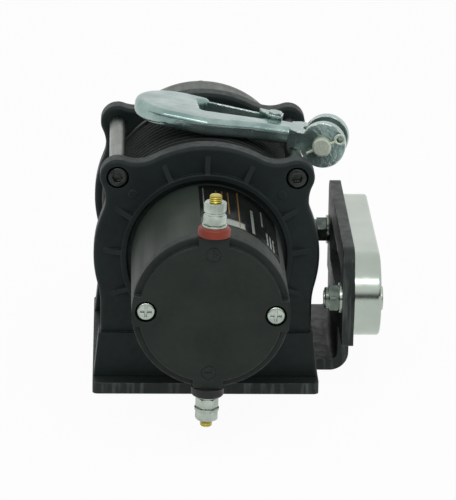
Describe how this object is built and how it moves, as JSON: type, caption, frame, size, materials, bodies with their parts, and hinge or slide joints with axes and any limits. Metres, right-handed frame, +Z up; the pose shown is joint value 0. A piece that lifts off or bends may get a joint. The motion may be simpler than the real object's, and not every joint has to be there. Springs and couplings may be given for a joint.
{
  "type": "electric winch",
  "caption": "Electric rope winch: motor and planetary gearbox at the ends of a rope drum held between cast brackets, on a bent steel plate with a slotted fairlead and a clevis hook.",
  "frame": {"origin": "plate underside, centre of the base bolt pattern, below the middle of the drum", "axes": "+X is the way the rope pulls through the fairlead, +Y runs along the drum from the motor to the gearbox, +Z is up"},
  "size_m": [0.1516, 0.2838, 0.1413],
  "materials": {
    "cast_black": "matt",
    "plate_black": "satin",
    "can_black": "satin",
    "cap_black": "matt",
    "rod_steel": "satin",
    "black_oxide": "blackened",
    "zinc": "plated",
    "hook_zinc": "plated",
    "fairlead_aluminium": "polished",
    "housing_steel": "satin",
    "drum_steel": "satin",
    "gear_steel": "machined",
    "core_iron": "laminated",
    "magnet": "ground",
    "copper": "bare",
    "brass": "bare",
    "bronze": "sintered",
    "spring_steel": "drawn",
    "red_plastic": "matt",
    "black_plastic": "matt",
    "carbon": "matt",
    "gasket": "matt",
    "rope": "braided"
  },
  "bodies": {
    "frame": {"brush_plate": "black_plastic", "brush_springs": "spring_steel", "brushes": "carbon", "cap_bush": "bronze", "cover_gasket": "gasket", "cover_screws": "zinc", "drum_bushes": "bronze", "end_cover": "housing_steel", "fairlead": "fairlead_aluminium", "fairlead_nuts": "zinc", "fairlead_screws": "zinc", "fairlead_washers": "zinc", "foot_screws": "zinc", "gear_bracket": "cast_black", "motor_bearing": "gear_steel", "motor_bracket": "cast_black", "motor_can": "can_black", "motor_end_cap": "cap_black", "motor_end_plate": "housing_steel", "motor_magnets": "magnet", "mount_plate": "plate_black", "negative_insulator": "black_plastic", "negative_stud": "brass", "positive_insulator": "red_plastic", "positive_stud": "brass", "ring_gear": "housing_steel", "ring_gear_screws": "zinc", "terminal_nuts": "zinc", "terminal_washers": "zinc", "through_bolts": "zinc", "tie_rod_screws": "black_oxide", "tie_rods": "rod_steel"},
    "drum": {"drum": "drum_steel", "rope_core": "rope", "rope_winding": "rope", "output_carrier": "gear_steel"},
    "rotor": {"armature_shaft": "gear_steel", "armature_core": "core_iron", "armature_windings": "copper", "commutator": "copper", "shaft_coupling": "gear_steel", "drive_shaft": "gear_steel", "first_sun_gear": "gear_steel"},
    "first_carrier": {"first_carrier": "gear_steel"},
    "second_carrier": {"second_carrier": "gear_steel"},
    "clutch_knob": {"clutch_knob": "black_plastic"},
    "hook": {"hook": "hook_zinc", "clevis_pin": "hook_zinc", "cotter_pin": "hook_zinc", "latch_rivet": "hook_zinc"},
    "hook_latch": {"hook_latch": "hook_zinc"},
    "first_planet_1": {"first_planet_1": "gear_steel"},
    "first_planet_2": {"first_planet_2": "gear_steel"},
    "first_planet_3": {"first_planet_3": "gear_steel"},
    "second_planet_1": {"second_planet_1": "gear_steel"},
    "second_planet_2": {"second_planet_2": "gear_steel"},
    "second_planet_3": {"second_planet_3": "gear_steel"},
    "third_planet_1": {"third_planet_1": "gear_steel"},
    "third_planet_2": {"third_planet_2": "gear_steel"},
    "third_planet_3": {"third_planet_3": "gear_steel"}
  },
  "joints": [
    {"name": "drum_spin", "type": "hinge", "parent": "frame", "child": "drum", "pos_m": [0, 0, 0.0717], "axis": [0, 1, 0], "continuous": true},
    {"name": "second_carrier_spin", "type": "hinge", "parent": "frame", "child": "second_carrier", "pos_m": [0, 0, 0.0717], "axis": [0, 1, 0], "continuous": true},
    {"name": "first_carrier_spin", "type": "hinge", "parent": "frame", "child": "first_carrier", "pos_m": [0, 0, 0.0717], "axis": [0, 1, 0], "continuous": true},
    {"name": "rotor_spin", "type": "hinge", "parent": "frame", "child": "rotor", "pos_m": [0, 0, 0.0717], "axis": [0, 1, 0], "continuous": true},
    {"name": "third_planet_1_spin", "type": "hinge", "parent": "drum", "child": "third_planet_1", "pos_m": [0.02475, 0, 0.0717], "axis": [0, 1, 0], "continuous": true},
    {"name": "third_planet_2_spin", "type": "hinge", "parent": "drum", "child": "third_planet_2", "pos_m": [-0.01238, 0, 0.09313], "axis": [0, 1, 0], "continuous": true},
    {"name": "third_planet_3_spin", "type": "hinge", "parent": "drum", "child": "third_planet_3", "pos_m": [-0.01238, 0, 0.05027], "axis": [0, 1, 0], "continuous": true},
    {"name": "second_planet_1_spin", "type": "hinge", "parent": "second_carrier", "child": "second_planet_1", "pos_m": [0.02475, 0, 0.0717], "axis": [0, 1, 0], "continuous": true},
    {"name": "second_planet_2_spin", "type": "hinge", "parent": "second_carrier", "child": "second_planet_2", "pos_m": [-0.01238, 0, 0.09313], "axis": [0, 1, 0], "continuous": true},
    {"name": "second_planet_3_spin", "type": "hinge", "parent": "second_carrier", "child": "second_planet_3", "pos_m": [-0.01238, 0, 0.05027], "axis": [0, 1, 0], "continuous": true},
    {"name": "first_planet_1_spin", "type": "hinge", "parent": "first_carrier", "child": "first_planet_1", "pos_m": [0.02475, 0, 0.0717], "axis": [0, 1, 0], "continuous": true},
    {"name": "first_planet_2_spin", "type": "hinge", "parent": "first_carrier", "child": "first_planet_2", "pos_m": [-0.01238, 0, 0.09313], "axis": [0, 1, 0], "continuous": true},
    {"name": "first_planet_3_spin", "type": "hinge", "parent": "first_carrier", "child": "first_planet_3", "pos_m": [-0.01238, 0, 0.05027], "axis": [0, 1, 0], "continuous": true},
    {"name": "clutch_turn", "type": "hinge", "parent": "frame", "child": "clutch_knob", "pos_m": [0, 0, 0.0717], "axis": [0, 1, 0], "range_deg": [0, 90]},
    {"name": "hook_lift", "type": "slide", "parent": "frame", "child": "hook", "axis": [0, 0, 1], "range_m": [0, 0.12]},
    {"name": "latch_swing", "type": "hinge", "parent": "hook", "child": "hook_latch", "pos_m": [0.0362, 0.00144, 0.12513], "axis": [0.1604, 0, 0.9871], "range_deg": [0, 24], "stiffness_Nm_per_rad": 0.05, "springref_deg": -20.05}
  ],
  "couplings": [
    {"joint": "second_carrier_spin", "follows": "drum_spin", "ratio": 5.5},
    {"joint": "first_carrier_spin", "follows": "drum_spin", "ratio": 30.25},
    {"joint": "rotor_spin", "follows": "drum_spin", "ratio": 166.38},
    {"joint": "third_planet_1_spin", "follows": "drum_spin", "ratio": -2.5714},
    {"joint": "third_planet_2_spin", "follows": "drum_spin", "ratio": -2.5714},
    {"joint": "third_planet_3_spin", "follows": "drum_spin", "ratio": -2.5714},
    {"joint": "second_planet_1_spin", "follows": "drum_spin", "ratio": -14.143},
    {"joint": "second_planet_2_spin", "follows": "drum_spin", "ratio": -14.143},
    {"joint": "second_planet_3_spin", "follows": "drum_spin", "ratio": -14.143},
    {"joint": "first_planet_1_spin", "follows": "drum_spin", "ratio": -77.786},
    {"joint": "first_planet_2_spin", "follows": "drum_spin", "ratio": -77.786},
    {"joint": "first_planet_3_spin", "follows": "drum_spin", "ratio": -77.786}
  ]
}
